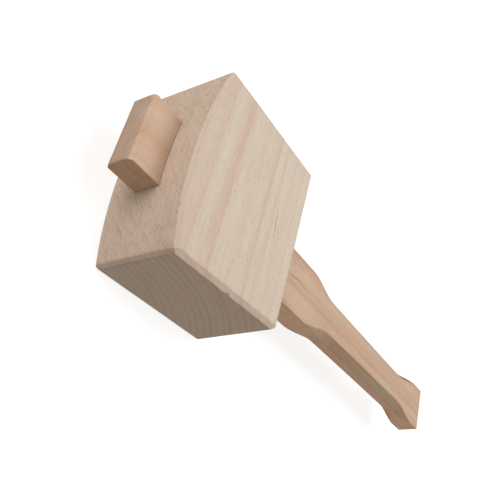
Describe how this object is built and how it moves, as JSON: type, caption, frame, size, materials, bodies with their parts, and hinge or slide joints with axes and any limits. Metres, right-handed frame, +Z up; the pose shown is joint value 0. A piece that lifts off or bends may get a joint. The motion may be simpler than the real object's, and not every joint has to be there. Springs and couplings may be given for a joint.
{
  "type": "joiner's mallet",
  "caption": "Wooden joiner's mallet: a square beech head with a curved top and sloping striking faces on a tapered handle that drops through it.",
  "frame": {"origin": "centre of the cheek that the mallet lies on, halfway between the head's top corners and its underside", "axes": "+X along the handle from the head to the pommel, +Y the striking direction, +Z up, square to the cheeks"},
  "size_m": [0.3936, 0.1476, 0.068],
  "materials": {
    "head_beech": "sanded, unvarnished",
    "handle_beech": "sanded, lightly oiled"
  },
  "bodies": {
    "head": {"head": "head_beech"},
    "handle": {"handle": "handle_beech"}
  },
  "joints": [
    {"name": "handle_slide", "type": "slide", "parent": "head", "child": "handle", "axis": [-1, 0, 0], "range_m": [0, 0.35]}
  ]
}
